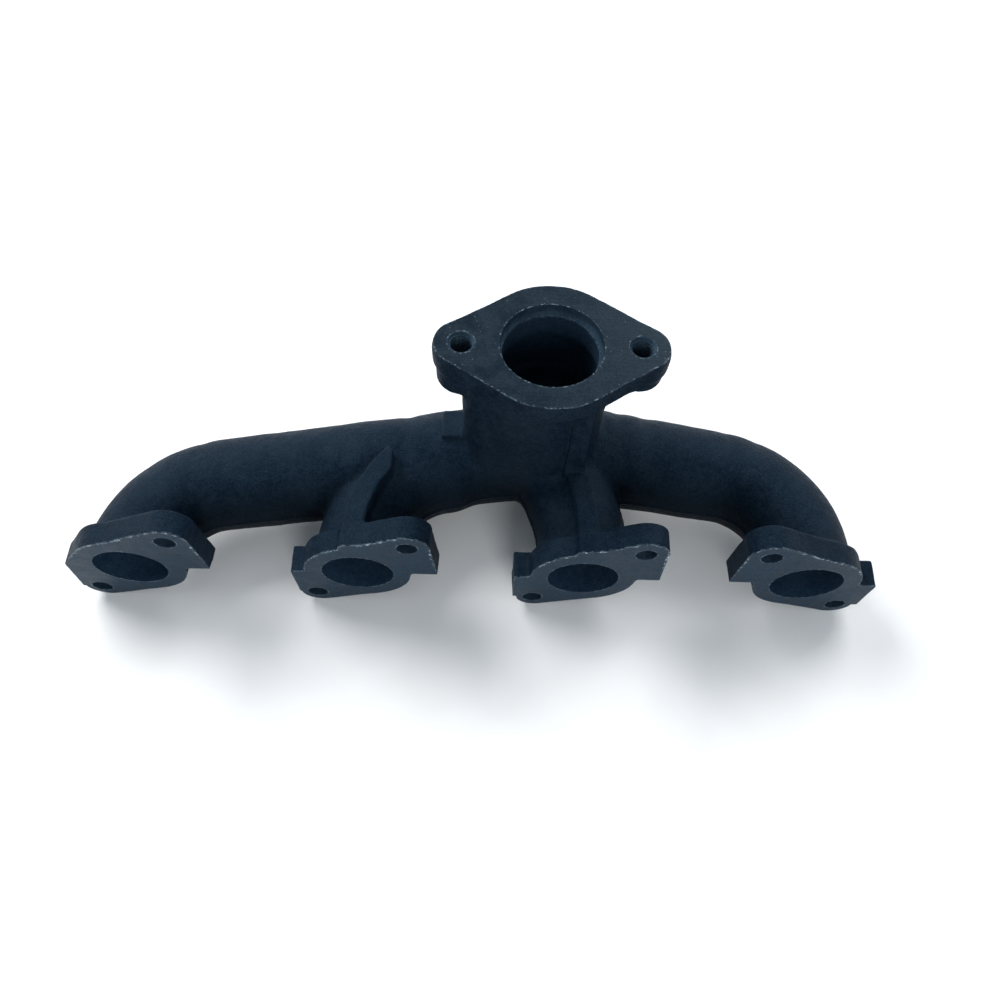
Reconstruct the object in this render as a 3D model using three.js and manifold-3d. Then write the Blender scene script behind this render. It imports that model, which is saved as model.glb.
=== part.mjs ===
// Four-port cast-iron exhaust manifold with a two-stud outlet flange.
// Millimetres, +Z up. The shapes are drawn around the cylinder-head face: the port
// centres lie on the X axis, the port faces in the plane Y = 0 and the parting plane of
// the casting in Z = 0. The whole group is then moved so that its origin is the centre
// of the bottom of its box.
import * as THREE from 'three';
import { mergeVertices } from 'three/addons/utils/BufferGeometryUtils.js';
import Module from 'manifold-3d';

const wasm = await Module();
wasm.setup();

// ---------------------------------------------------------------- driving dimensions
const GAP = 0.3;                       // between neighbouring sections of the casting
const WALL = 3.6;                      // wall of runners and log

const PORT_PITCH = 98;
const PORT_X = [-1.5, -0.5, 0.5, 1.5].map((step) => step * PORT_PITCH);
const PORT_BORE_R = 15.45;
const FLANGE_T = 10.3;
const LOWER_LOBE_T = 12.4;
const FLANGE_RING_R = 22.8;
const BOLT_R = 4.4;                    // clearance hole for M8
const UPPER_BOLT = [23.2, 25.3];
const UPPER_LOBE_R = 10;
const UPPER_EDGES = [34.8, 35, 33.7, 34.7];   // flat outer side of each upper lobe
const LOWER_BOLT = [-21, -22.1];
const LOWER_LOBE = [-20, -22];
const LOWER_LOBE_R = 8.6;
const LOWER_EDGES = [29.8, 29.4, 30.4, 31.2];     // flat outer side of each lower lobe
const LOBE_FLAT = 15;                  // degrees of each lobe's arc that the flat side takes
const CHEEK = { from: 134, corner: [-27.5, 2.5] };      // fills the step on the first flange

const LEFT_BEND = { straight: 1, radius: 41.9, slope: 9.55, r0: 19, r1: 20.9 };
const RIGHT_BEND = { straight: 13, radius: 41, slope: 9.3, r0: 19.6, r1: 21 };
const RUNNER_2 = { straight: 10, radius: 43, slope: 9.55, r0: 18.6, r1: 19.4 };
const RUNNER_3 = { straight: 12, radius: 75, slope: 47, r0: 18.8, r1: 21 };
const LOG_R = 23.2;                    // log radius below the outlet
const LOG_CUTS = [-120, -72, -5, 80, 120];      // X of the planes between the log's sections
const LOG_OVERRUN = 5;                 // each half of the log runs past the outlet axis
const LEAD = 2;                        // straight end that carries a core past its wall

const OUTLET = { x: 30.1, y: 63.1, z: 80 };
const OUTLET_BORE_R = 20.45;
const OUTLET_RIM_R = 30.4;
const OUTLET_LOBE_R = 10.5;
const STUD_OFFSET = 35.4;
const STUD_HOLE_R = 4.5;               // M10 x 1.5 thread, near its root
const STUD_HOLE_DEPTH = 17;
const COUNTERSINK_R = 5.4;
const OUTLET_PLATE_T = 9;
const BOSS_BOTTOM_Z = [59, 64];        // left and right

const NECK_R = 24.6;
const NECK_SHIFT = [0.8, 0.5];         // of the neck's round end from the outlet axis
const NECK_DRAWN = [-21.9, -5];        // from the round end to the drawn-out left end
const NECK_DRAWN_R = 14;
const NECK_WALL = 4.5;
const NECK_CORE_TOP = 62;              // the wide core narrows to the outlet bore here

const RIB_WIDTH = 9.2;
const RIB_TOP_Z = 26.5;
const RIB_2 = { straight: 8, radius: 56.6, slope: 35 };
const RIB_3 = { straight: 8, radius: 121, slope: 60 };
const RIB_2_END_X = -35;
const RIB_LENGTH = [60, 42];           // of the ribs on runners 2 and 3
const NECK_RIB = { x0: 39.2, x1: 48, front: 38.2, back: 50 };
const FOOT_PAD = { x0: -14.6, x1: -5.3, y0: 55.6, y1: 70, top: 24.9 };
const GUSSET_T = 8;
const GUSSET_BOTTOM_Z = 50;

const SIDES = 24;                      // facets round a tube
const BORE_SIDES = 28;
const FAR = 200;                       // beyond the whole part in every direction

// ---------------------------------------------------------------- solids and booleans
function solid(geometry) {
  const bare = geometry.clone();
  bare.deleteAttribute('normal');
  bare.deleteAttribute('uv');
  const merged = mergeVertices(bare, 1e-4);
  return new wasm.Manifold(new wasm.Mesh({
    numProp: 3,
    vertProperties: new Float32Array(merged.attributes.position.array),
    triVerts: new Uint32Array(merged.index.array),
  }));
}

function largestBody(manifold) {
  const bodies = manifold.decompose();
  bodies.sort((a, b) => b.volume() - a.volume());
  return bodies[0];
}

function toGeometry(manifold) {
  const mesh = largestBody(manifold).getMesh();
  const geometry = new THREE.BufferGeometry();
  geometry.setAttribute('position', new THREE.Float32BufferAttribute(mesh.vertProperties, 3));
  geometry.setIndex(new THREE.BufferAttribute(mesh.triVerts, 1));
  geometry.computeVertexNormals();
  return geometry;
}

function box(x0, x1, y0, y1, z0, z1) {
  const geometry = new THREE.BoxGeometry(x1 - x0, y1 - y0, z1 - z0);
  geometry.translate((x0 + x1) / 2, (y0 + y1) / 2, (z0 + z1) / 2);
  return solid(geometry);
}

function uprightCylinder(x, y, z0, z1, radius, sides = BORE_SIDES) {
  const geometry = new THREE.CylinderGeometry(radius, radius, z1 - z0, sides);
  geometry.rotateX(Math.PI / 2);
  geometry.translate(x, y, (z0 + z1) / 2);
  return solid(geometry);
}

function forwardCylinder(x, z, y0, y1, radius, sides = BORE_SIDES) {
  const geometry = new THREE.CylinderGeometry(radius, radius, y1 - y0, sides);
  geometry.translate(x, (y0 + y1) / 2, z);
  return solid(geometry);
}

function extrudeUp(shape, z0, z1, curveSegments = 8) {
  const options = { depth: z1 - z0, bevelEnabled: false, curveSegments };
  const geometry = new THREE.ExtrudeGeometry(shape, options);
  geometry.translate(0, 0, z0);
  return solid(geometry);
}

// a shape drawn in X and Z, extruded along +Y from the plane Y = 0
function extrudeBack(shape, depth, curveSegments = 8) {
  const geometry = new THREE.ExtrudeGeometry(shape, { depth, bevelEnabled: false, curveSegments });
  geometry.rotateX(Math.PI / 2);
  geometry.translate(0, depth, 0);
  return solid(geometry);
}

// ---------------------------------------------------------------- tubes in the plane Z = 0
// Plan of one passage: straight out of the port, then a bend towards `side` (+1 is +X)
// that ends `slope` degrees off the X axis. A short straight lead at each end carries the
// gas core past the end of its wall.
function portPath(portX, side, bend) {
  const path = new THREE.Path();
  const centreX = portX + side * bend.radius;
  const slope = THREE.MathUtils.degToRad(bend.slope);
  const start = side > 0 ? Math.PI : 0;
  const end = Math.PI / 2 + side * slope;
  path.moveTo(portX, -LEAD);
  path.lineTo(portX, bend.straight);
  path.absarc(centreX, bend.straight, bend.radius, start, end, side > 0);
  const bendEnd = path.currentPoint.clone();
  path.lineTo(bendEnd.x + side * LEAD * Math.cos(slope), bendEnd.y + LEAD * Math.sin(slope));
  return path;
}

// plan of half of the log: from the end of a bend to the point below the outlet
function logPath(portX, side, bend) {
  const start = portPath(portX, side, bend).getPointAt(1);
  const slope = THREE.MathUtils.degToRad(bend.slope);
  const run = Math.abs(OUTLET.x - start.x) + LOG_OVERRUN;
  const path = new THREE.Path();
  path.moveTo(start.x - side * LEAD * Math.cos(slope), start.y - LEAD * Math.sin(slope));
  path.lineTo(start.x + side * run, start.y + run * Math.tan(slope));
  return path;
}

// a tube along a plan path, from arc length `from` to `to`, with a radius that runs
// evenly from r0 to r1 over the whole path
function sweep(path, r0, r1, from, to, steps) {
  const length = path.getLength();
  const geometry = new THREE.CylinderGeometry(1, 1, 1, SIDES, steps);
  const position = geometry.attributes.position;
  for (let i = 0; i < position.count; i += 1) {
    const u = (from + (to - from) * (position.getY(i) + 0.5)) / length;
    const centre = path.getPointAt(THREE.MathUtils.clamp(u, 0, 1));
    const along = path.getTangentAt(THREE.MathUtils.clamp(u, 0, 1));
    const radius = THREE.MathUtils.lerp(r0, r1, u);
    const sideways = position.getX(i) * radius;
    const up = position.getZ(i) * radius;
    position.setXYZ(i, centre.x + along.y * sideways, centre.y - along.x * sideways, up);
  }
  return outward(geometry);
}

// the mapping above can turn a mesh inside out, so its faces are turned back where needed
function outward(geometry) {
  const bare = geometry.clone();
  bare.deleteAttribute('normal');
  bare.deleteAttribute('uv');
  const merged = mergeVertices(bare, 1e-4);
  const p = merged.attributes.position;
  const index = merged.index.array;
  const [a, b, c] = [new THREE.Vector3(), new THREE.Vector3(), new THREE.Vector3()];
  let volume = 0;
  for (let i = 0; i < index.length; i += 3) {
    a.fromBufferAttribute(p, index[i]);
    b.fromBufferAttribute(p, index[i + 1]);
    c.fromBufferAttribute(p, index[i + 2]);
    volume += a.dot(b.cross(c)) / 6;
  }
  if (volume < 0) {
    for (let i = 0; i < index.length; i += 3) {
      [index[i + 1], index[i + 2]] = [index[i + 2], index[i + 1]];
    }
  }
  return solid(merged);
}

const leftBend = portPath(PORT_X[0], 1, LEFT_BEND);
const rightBend = portPath(PORT_X[3], -1, RIGHT_BEND);
const runner2Path = portPath(PORT_X[1], 1, RUNNER_2);
const runner3Path = portPath(PORT_X[2], -1, RUNNER_3);
const leftLog = logPath(PORT_X[0], 1, LEFT_BEND);
const rightLog = logPath(PORT_X[3], -1, RIGHT_BEND);

const tube = (path, r0, r1, grow, from = 0, to = path.getLength(), steps = 10) =>
  sweep(path, r0 + grow, r1 + grow, from, to, steps);

const halfLog = (path, bend, grow, from) =>
  tube(path, bend.r1, LOG_R, grow, from, path.getLength(), 3);
const logBody = (grow, from = 0) =>
  halfLog(leftLog, LEFT_BEND, grow, from).add(halfLog(rightLog, RIGHT_BEND, grow, from));

// ---------------------------------------------------------------- neck below the outlet
// Round below the outlet bore, drawn out to a smaller round end at the left.
function neckShape(grow) {
  const [dx, dy] = NECK_DRAWN;
  const lean = Math.acos((NECK_R - NECK_DRAWN_R) / Math.hypot(dx, dy));
  const towards = Math.atan2(dy, dx) + 2 * Math.PI;
  const [x, y] = [OUTLET.x + NECK_SHIFT[0], OUTLET.y + NECK_SHIFT[1]];
  const shape = new THREE.Shape();
  shape.absarc(x, y, NECK_R + grow, towards + lean - 2 * Math.PI, towards - lean, false);
  shape.absarc(x + dx, y + dy, NECK_DRAWN_R + grow, towards - lean, towards + lean, false);
  shape.closePath();
  return shape;
}

const neckBody = (grow) => extrudeUp(neckShape(grow), 0, OUTLET.z - OUTLET_PLATE_T - GAP);

// ---------------------------------------------------------------- gas passages
const core = wasm.Manifold.union([
  tube(leftBend, PORT_BORE_R, LEFT_BEND.r1 - WALL, 0),
  tube(rightBend, PORT_BORE_R, RIGHT_BEND.r1 - WALL, 0),
  tube(runner2Path, PORT_BORE_R, RUNNER_2.r1 - WALL, 0),
  tube(runner3Path, PORT_BORE_R, RUNNER_3.r1 - WALL, 0),
  logBody(-WALL),
  extrudeUp(neckShape(-NECK_WALL), 0, NECK_CORE_TOP),
  uprightCylinder(OUTLET.x, OUTLET.y, 0, OUTLET.z + 1, OUTLET_BORE_R, 36),
]);

// ---------------------------------------------------------------- port flanges
// Outline in X and Z: a ring round the port with an upper and a lower bolt lobe, both cut
// off at the parting plane. `side` mirrors it left to right. A cheek fills the step between
// the ring and the lower lobe.
function portFlangeShape(side, upperEdge, lowerEdge, cheek) {
  const outline = [];
  const arc = (cx, cz, r, from, to, count) => {
    for (let i = 0; i <= count; i += 1) {
      const angle = THREE.MathUtils.degToRad(from + ((to - from) * i) / count);
      outline.push([cx + r * Math.cos(angle), cz + r * Math.sin(angle)]);
    }
  };
  const toUpper = tangentAngle([0, 0], FLANGE_RING_R, UPPER_BOLT, UPPER_LOBE_R);
  const toLower = tangentAngle([0, 0], FLANGE_RING_R, LOWER_LOBE, LOWER_LOBE_R);
  outline.push([upperEdge, 0]);
  arc(...UPPER_BOLT, UPPER_LOBE_R, LOBE_FLAT, toUpper, 6);
  arc(0, 0, FLANGE_RING_R, toUpper, cheek ? cheek.from : 180, 6);
  outline.push(cheek ? cheek.corner : [-lowerEdge, 0], [-lowerEdge, LOWER_LOBE[1]]);
  arc(...LOWER_LOBE, LOWER_LOBE_R, 180 + LOBE_FLAT, toLower, 6);
  arc(0, 0, FLANGE_RING_R, toLower, 360, 6);
  return new THREE.Shape(outline.map(([x, z]) => new THREE.Vector2(side * x, z)));
}

// direction, in degrees, of the two points where one straight edge touches both circles;
// the edge is the one that lies anticlockwise of the line between the centres
function tangentAngle([x0, y0], r0, [x1, y1], r1) {
  const distance = Math.hypot(x1 - x0, y1 - y0);
  const direction = Math.atan2(y1 - y0, x1 - x0);
  const angle = THREE.MathUtils.radToDeg(direction + Math.acos((r0 - r1) / distance));
  return angle < 0 ? angle + 360 : angle;
}

function portFlange(portX, side, upperEdge, lowerEdge, cheek) {
  const holes = [UPPER_BOLT, LOWER_BOLT].map(([x, z]) =>
    forwardCylinder(side * x, z, -1, LOWER_LOBE_T + 1, BOLT_R, 20));
  const shape = portFlangeShape(side, upperEdge, lowerEdge, cheek);
  const lowerLobe = extrudeBack(shape, LOWER_LOBE_T)
    .intersect(box(-FAR, FAR, 0, FAR, -FAR, 0))
    .subtract(forwardCylinder(0, 0, FLANGE_T, LOWER_LOBE_T + 1, FLANGE_RING_R + GAP));
  return extrudeBack(shape, FLANGE_T).add(lowerLobe).subtract(wasm.Manifold.union(holes))
    .translate([portX, 0, 0]).subtract(core);
}

// ---------------------------------------------------------------- outlet flange and bosses
function outletShape() {
  const points = [];
  const arc = (cx, r, from, to, count) => {
    for (let i = 0; i <= count; i += 1) {
      const angle = from + ((to - from) * i) / count;
      points.push(new THREE.Vector2(cx + r * Math.cos(angle), r * Math.sin(angle)));
    }
  };
  const touch = Math.acos((OUTLET_RIM_R - OUTLET_LOBE_R) / STUD_OFFSET);
  arc(STUD_OFFSET, OUTLET_LOBE_R, -touch, touch, 10);
  arc(0, OUTLET_RIM_R, touch, Math.PI - touch, 10);
  arc(-STUD_OFFSET, OUTLET_LOBE_R, Math.PI - touch, Math.PI + touch, 10);
  arc(0, OUTLET_RIM_R, Math.PI + touch, 2 * Math.PI - touch, 10);
  return new THREE.Shape(points);
}

const studX = [-1, 1].map((side) => OUTLET.x + side * STUD_OFFSET);
const studHoles = wasm.Manifold.union(studX.flatMap((x) => [
  uprightCylinder(x, OUTLET.y, OUTLET.z - STUD_HOLE_DEPTH, OUTLET.z + 1, STUD_HOLE_R, 24),
  countersink(x),
]));

function countersink(x) {
  const depth = COUNTERSINK_R - STUD_HOLE_R;
  const geometry = new THREE.CylinderGeometry(COUNTERSINK_R, STUD_HOLE_R, depth, 24);
  geometry.rotateX(Math.PI / 2);
  geometry.translate(x, OUTLET.y, OUTLET.z - depth / 2);
  return solid(geometry);
}

function outletFlange() {
  const plate = extrudeUp(outletShape(), OUTLET.z - OUTLET_PLATE_T, OUTLET.z);
  return plate.translate([OUTLET.x, OUTLET.y, 0]).subtract(studHoles).subtract(core);
}

const bossBody = (x, i, grow) => uprightCylinder(
  x, OUTLET.y, BOSS_BOTTOM_Z[i] - grow, OUTLET.z - OUTLET_PLATE_T - GAP, OUTLET_LOBE_R + grow);

const bosses = studX.map((x, i) => bossBody(x, i, 0).subtract(studHoles).subtract(core));
const grownBosses = wasm.Manifold.union(studX.map((x, i) => bossBody(x, i, GAP)));

// ---------------------------------------------------------------- tubes cut to sections
const grownLog = logBody(GAP);
const grownNeck = neckBody(GAP);
const behind = box(-FAR, FAR, FLANGE_T + GAP, FAR, -FAR, FAR);

const elbow = (path, bend) =>
  tube(path, bend.r0, bend.r1, 0, 0, path.getLength() - LEAD - GAP / 2)
    .intersect(behind).subtract(core);
const runner2Body = (grow) => tube(runner2Path, RUNNER_2.r0, RUNNER_2.r1, grow);
const runner3Body = (grow) => tube(runner3Path, RUNNER_3.r0, RUNNER_3.r1, grow);

const runner2 = runner2Body(0).intersect(behind).subtract(grownLog).subtract(core);
const runner3 = runner3Body(0).intersect(behind).subtract(grownLog).subtract(grownNeck)
  .subtract(core);

const logHollow = logBody(0, GAP / 2).subtract(core);
const logSection = (i) => logHollow.intersect(
  box(LOG_CUTS[i] + GAP / 2, LOG_CUTS[i + 1] - GAP / 2, 0, FAR, -FAR, FAR));

const neck = neckBody(0).subtract(grownLog).subtract(grownBosses).subtract(core);

// ---------------------------------------------------------------- ribs, pad and gusset
// a rib that stands on the centre line of a runner, cut clear of what it stands on
function runnerRib(path, length) {
  return sweepBand(path, LEAD, length, RIB_WIDTH, RIB_TOP_Z).intersect(behind);
}

// an upright band along a plan path: `width` wide, from the parting plane to `top`
function sweepBand(path, from, to, width, top) {
  const length = path.getLength();
  const geometry = new THREE.BoxGeometry(width, top, to - from, 1, 1, 12);
  const position = geometry.attributes.position;
  for (let i = 0; i < position.count; i += 1) {
    const u = (position.getZ(i) + (from + to) / 2) / length;
    const centre = path.getPointAt(THREE.MathUtils.clamp(u, 0, 1));
    const along = path.getTangentAt(THREE.MathUtils.clamp(u, 0, 1));
    const sideways = position.getX(i);
    const up = position.getY(i) + top / 2;
    position.setXYZ(i, centre.x + along.y * sideways, centre.y - along.x * sideways, up);
  }
  return outward(geometry);
}

const rib2 = runnerRib(portPath(PORT_X[1], 1, RIB_2), RIB_LENGTH[0])
  .subtract(box(RIB_2_END_X, FAR, 0, FAR, -1, FAR))
  .subtract(runner2Body(GAP)).subtract(grownLog);

const neckRibBody = (grow) => box(
  NECK_RIB.x0 - grow, NECK_RIB.x1 + grow, NECK_RIB.front - grow, NECK_RIB.back,
  0, OUTLET.z - OUTLET_PLATE_T - GAP);
const neckRib = neckRibBody(0).subtract(runner3Body(GAP)).subtract(grownLog)
  .subtract(grownNeck);
const rib3 = runnerRib(portPath(PORT_X[2], -1, RIB_3), RIB_LENGTH[1])
  .subtract(runner3Body(GAP)).subtract(grownLog).subtract(grownNeck)
  .subtract(neckRibBody(GAP));

const footPad = box(FOOT_PAD.x0, FOOT_PAD.x1, FOOT_PAD.y0, FOOT_PAD.y1, 0, FOOT_PAD.top)
  .subtract(grownLog).subtract(grownNeck);

// three-cornered web below the right boss, down to the side of the neck
function bossGusset() {
  const inner = OUTLET.x + NECK_R - 2;
  const outer = OUTLET.x + STUD_OFFSET + 4;
  const top = BOSS_BOTTOM_Z[1] - GAP;
  const points = [[inner, GUSSET_BOTTOM_Z], [outer, top], [inner, top]];
  const shape = new THREE.Shape(points.map(([x, z]) => new THREE.Vector2(x, z)));
  const web = extrudeBack(shape, GUSSET_T).translate([0, OUTLET.y - GUSSET_T / 2, 0]);
  return web.subtract(grownNeck).subtract(grownBosses);
}

// ---------------------------------------------------------------- scene graph
const castIron = (color, roughness) =>
  new THREE.MeshStandardMaterial({ color, roughness, metalness: 0.35 });
const manifold = new THREE.Group();

function place(name, body, color = 0x24303c, roughness = 0.6) {
  const mesh = new THREE.Mesh(toGeometry(body), castIron(color, roughness));
  mesh.name = name;
  manifold.add(mesh);
}

const MACHINED = 0x3a4753;
PORT_X.forEach((x, i) => {
  const side = i === 3 ? -1 : 1;
  const plate = portFlange(x, side, UPPER_EDGES[i], LOWER_EDGES[i], i === 0 ? CHEEK : null);
  place(`port_flange_${i + 1}`, plate, MACHINED);
});
place('elbow_left', elbow(leftBend, LEFT_BEND));
place('runner_2', runner2);
place('runner_3', runner3);
place('elbow_right', elbow(rightBend, RIGHT_BEND));
['log_left', 'log_junction_2', 'log_centre', 'log_right'].forEach((name, i) =>
  place(name, logSection(i)));
place('outlet_neck', neck);
place('outlet_flange', outletFlange(), MACHINED);
place('stud_boss_left', bosses[0]);
place('stud_boss_right', bosses[1]);
place('boss_gusset_right', bossGusset());
place('runner_2_rib', rib2);
place('runner_3_rib', rib3);
place('neck_rib', neckRib);
place('neck_foot_pad', footPad);

const width = [PORT_X[0] - LOWER_EDGES[0], PORT_X[3] + LOWER_EDGES[3]];
const depth = OUTLET.y + OUTLET_RIM_R;
const bottom = LOWER_LOBE[1] - LOWER_LOBE_R;
manifold.position.set(-(width[0] + width[1]) / 2, -depth / 2, -bottom);

export default manifold;
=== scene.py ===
"""Looks of a four-port cast-iron exhaust manifold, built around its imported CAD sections.

The casting is described once as distance fields, in millimetres around the cylinder-head
face: port centres on X, port faces at Y = 0, parting plane at Z = 0. Each CAD section then
gets its own closed mesh, cut from the same fields, so that the fillets and the sand-cast
skin run on without a step from one section to the next.
"""

import math

import bpy
import numpy as np
from mathutils import Matrix, Vector


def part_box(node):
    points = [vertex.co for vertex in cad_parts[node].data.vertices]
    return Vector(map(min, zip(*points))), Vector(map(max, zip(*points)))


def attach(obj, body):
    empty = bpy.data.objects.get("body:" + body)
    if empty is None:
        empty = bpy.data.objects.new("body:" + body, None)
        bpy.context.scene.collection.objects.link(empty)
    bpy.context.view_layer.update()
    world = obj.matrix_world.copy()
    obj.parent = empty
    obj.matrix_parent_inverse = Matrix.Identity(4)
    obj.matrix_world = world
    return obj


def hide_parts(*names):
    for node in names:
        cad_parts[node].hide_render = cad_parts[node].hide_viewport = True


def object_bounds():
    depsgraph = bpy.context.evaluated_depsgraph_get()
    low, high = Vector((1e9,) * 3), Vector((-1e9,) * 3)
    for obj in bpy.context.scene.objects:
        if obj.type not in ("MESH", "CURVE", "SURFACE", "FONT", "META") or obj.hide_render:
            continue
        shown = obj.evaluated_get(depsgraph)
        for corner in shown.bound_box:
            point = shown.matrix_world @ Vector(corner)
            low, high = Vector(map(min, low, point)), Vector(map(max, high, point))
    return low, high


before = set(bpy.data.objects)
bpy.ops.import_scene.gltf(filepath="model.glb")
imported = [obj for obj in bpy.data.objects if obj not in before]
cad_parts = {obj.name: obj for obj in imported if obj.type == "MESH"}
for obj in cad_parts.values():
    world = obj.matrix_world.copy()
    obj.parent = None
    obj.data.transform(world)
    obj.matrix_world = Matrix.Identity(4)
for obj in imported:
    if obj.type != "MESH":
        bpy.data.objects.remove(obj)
cad_low, cad_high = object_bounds()

# ------------------------------------------------------------------ driving dimensions, mm
MM = 0.001
VOXEL = 0.7

PORT_BORE_R = 15.45
FLANGE_T = 10.3
FLANGE_DRAFT = 0.03                         # its sides lean in towards the front, per mm
LOWER_LOBE_T = 12.4
RING_R = 22.8
BOLT_R = 4.4
UPPER_BOLT = (23.2, 25.3)
UPPER_LOBE_R = 10.0
UPPER_EDGES = (34.8, 35.0, 33.7, 34.7)      # flat outer side of each upper lobe
LOWER_BOLT = (-21.0, -22.1)
LOWER_LOBE = (-20.0, -22.0)
LOWER_LOBE_R = 8.6
LOWER_EDGES = (29.8, 29.4, 30.4, 31.2)
LOWEST = LOWER_LOBE_R - LOWER_LOBE[1]
LOBE_FLAT = math.radians(15)                # of each upper lobe's arc, taken by the flat side
CHEEK = (-26.0, 1.4)                        # fills the step on the first flange
CHEEK_R = 1.6
CHEEK_LEAN = 0.092                          # of the lobe's side below the cheek

WALL = 3.6
LOG_R = 23.2

RIM_R = 30.4
STUD_LOBE_R = 10.5
STUD_OFFSET = 35.4
STUD_R = 5.0
STUD_DEPTH = 17.0
THREAD_PITCH = 1.5
COUNTERSINK_R = 5.4
OUTLET_BORE_R = 20.45
PLATE_T = 9.0
BOSS_BOTTOM = (59.0, 64.0)                  # left and right
NECK_R = 24.6
NECK_SHIFT = (0.8, 0.5)                     # of the neck's round end from the outlet axis
NECK_DRAWN = (-21.9, -5.0)                  # from the round end to the drawn-out end
NECK_DRAWN_R = 14.0
NECK_WALL = 4.5
NECK_CORE_TOP = 62.0
NECK_CORE_TAPER = 0.035
BORE_DEPTH = 3.4                            # of the machined part of the outlet bore
BORE_CONE = 0.8                             # how fast its bottom narrows, per mm of depth
THROAT_R = 19.3
THROAT_SHIFT = (-0.2, -0.3)                 # of the cast throat from the machined bore
THROAT_BOTTOM = 46.0
THROAT_TOP = 77.0
WEB_T = 10.0
WEB_SLOPE = 0.62
WEB_FOOT = 48.0                             # Z where the web leaves the neck
FIN = 0.8                                   # height of the fin on the parting plane
FIN_HALF = 0.7
DENTS = ((-123, 0.35, 3.0), (-31, 0.55, 3.4), (66, 0.5, 3.0), (79, 0.6, 3.6),
         (116, 0.3, 2.6), (130, 0.4, 3.0))  # shallow bands: X, depth and half width
DENT_FROM = 9.0                             # Z above which they are at full depth
RIB_W = 9.2
RIB_TOP = 26.5
RIB_2_END = -35.0
RIB_LENGTH = 56.0
NECK_RIB = ((38.8, 37.8, 10), (48.2, 60, 74))
NECK_RIB_TAPER = 0.02                       # lost on every side per mm of height
FOOT_PAD = ((-14.6, 55.6, 5), (-2, 70, 24.9))

FLANGE_FILLET = 3.0
LOBE_FILLET = 2.0
NECK_FILLET = 4.5
BOSS_FILLET = 3.0
WEB_FILLET = 4.0
PLATE_FILLET = 4.0
RIB_FILLET = 1.3
NECK_RIB_FILLET = 1.0
CORE_FILLET = 5.0
FLANGE_ROUND = 0.9
PLATE_ROUND = 0.8
NECK_ROUND = 2.0
BOSS_ROUND = 1.6
WEB_ROUND = 1.0
RIB_ROUND = 0.6
NECK_RIB_ROUND = 0.5
PAD_ROUND = 0.7
PAST = 9.0                                  # a cut starts this far outside the metal
FAR = 99.0

# ------------------------------------------------------------------ places from the CAD
FLANGES = [f"port_flange_{i}" for i in (1, 2, 3, 4)]
SIDES = [1, 1, 1, -1]                       # the last flange is mirrored


def port_centre(name, side, lower_edge):
    low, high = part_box(name)
    edge = low.x if side > 0 else high.x
    return edge / MM + side * lower_edge


CENTRES = np.array([port_centre(*each) for each in zip(FLANGES, SIDES, LOWER_EDGES)])
ORIGIN = np.array([CENTRES.mean(), cad_low.y / MM, cad_low.z / MM + LOWEST])
PORT_X = (CENTRES - ORIGIN[0]).tolist()
plate_low, plate_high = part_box("outlet_flange")
OUTLET_X = (plate_low.x + plate_high.x) / 2 / MM - ORIGIN[0]
OUTLET_Y = (plate_low.y + plate_high.y) / 2 / MM - ORIGIN[1]
OUTLET_Z = plate_high.z / MM - ORIGIN[2]
STUD_X = [OUTLET_X - STUD_OFFSET, OUTLET_X + STUD_OFFSET]


def to_world(points):
    """Millimetres around the port faces to metres in the CAD's frame."""
    return (np.asarray(points, dtype=float) + ORIGIN) * MM


# ------------------------------------------------------------------ camera
CAMERA_PLACE = (7.94, -140.54, 321.90)
CAMERA_TILT = (29.03, -1.82, 3.12)          # pitch, yaw and roll in degrees
CAMERA_LENS = 28.909
CAMERA_SHIFT = (-0.0033, 0.0002)


def add_camera():
    data = bpy.data.cameras.new("camera")
    data.lens = CAMERA_LENS
    data.sensor_width = 36.0
    data.shift_x, data.shift_y = CAMERA_SHIFT
    data.clip_start, data.clip_end = 0.01, 20.0
    camera = bpy.data.objects.new("camera", data)
    pitch, yaw, roll = (math.radians(v) for v in CAMERA_TILT)
    turn = Matrix.Rotation(yaw, 4, "Z") @ Matrix.Rotation(pitch, 4, "X") @ Matrix.Rotation(roll, 4, "Z")
    camera.matrix_world = Matrix.Translation(Vector(to_world(CAMERA_PLACE))) @ turn
    bpy.context.scene.collection.objects.link(camera)
    bpy.context.scene.camera = camera


add_camera()


# ------------------------------------------------------------------ distance fields
def union(a, b, fillet):
    """The nearer of two fields, with a concave fillet of about that radius between them."""
    near = np.maximum(fillet - np.abs(a - b), 0) / fillet
    return np.minimum(a, b) - near * near * fillet * 0.25


def extrude(outline, axis_distance, rounding=0.0):
    """A flat outline field made solid: axis_distance is negative between its two faces."""
    a, b = outline + rounding, axis_distance + rounding
    outside = np.hypot(np.maximum(a, 0), np.maximum(b, 0))
    return np.minimum(np.maximum(a, b), 0) + outside - rounding


def slab(v, low, high):
    return np.abs(v - (low + high) / 2) - (high - low) / 2


def block(x, y, z, low, high, rounding=0.0):
    sides = [slab(v, lo, hi) for v, lo, hi in zip((x, y, z), low, high)]
    return extrude(extrude(sides[0], sides[1], rounding), sides[2], rounding)


def tangent_hull(u, v, big_r, centre, small_r):
    """Field of the hull of a circle at the origin and a smaller one at `centre`."""
    length = math.hypot(*centre)
    du, dv = centre[0] / length, centre[1] / length
    along = u * du + v * dv
    across = np.abs(v * du - u * dv)
    lean = (big_r - small_r) / length
    face = math.sqrt(1 - lean * lean)
    k = face * along - lean * across
    straight = face * across + lean * along - big_r
    near = np.hypot(along, across) - big_r
    far = np.hypot(along - length, across) - small_r
    return np.where(k < 0, near, np.where(k > face * length, far, straight))


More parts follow.
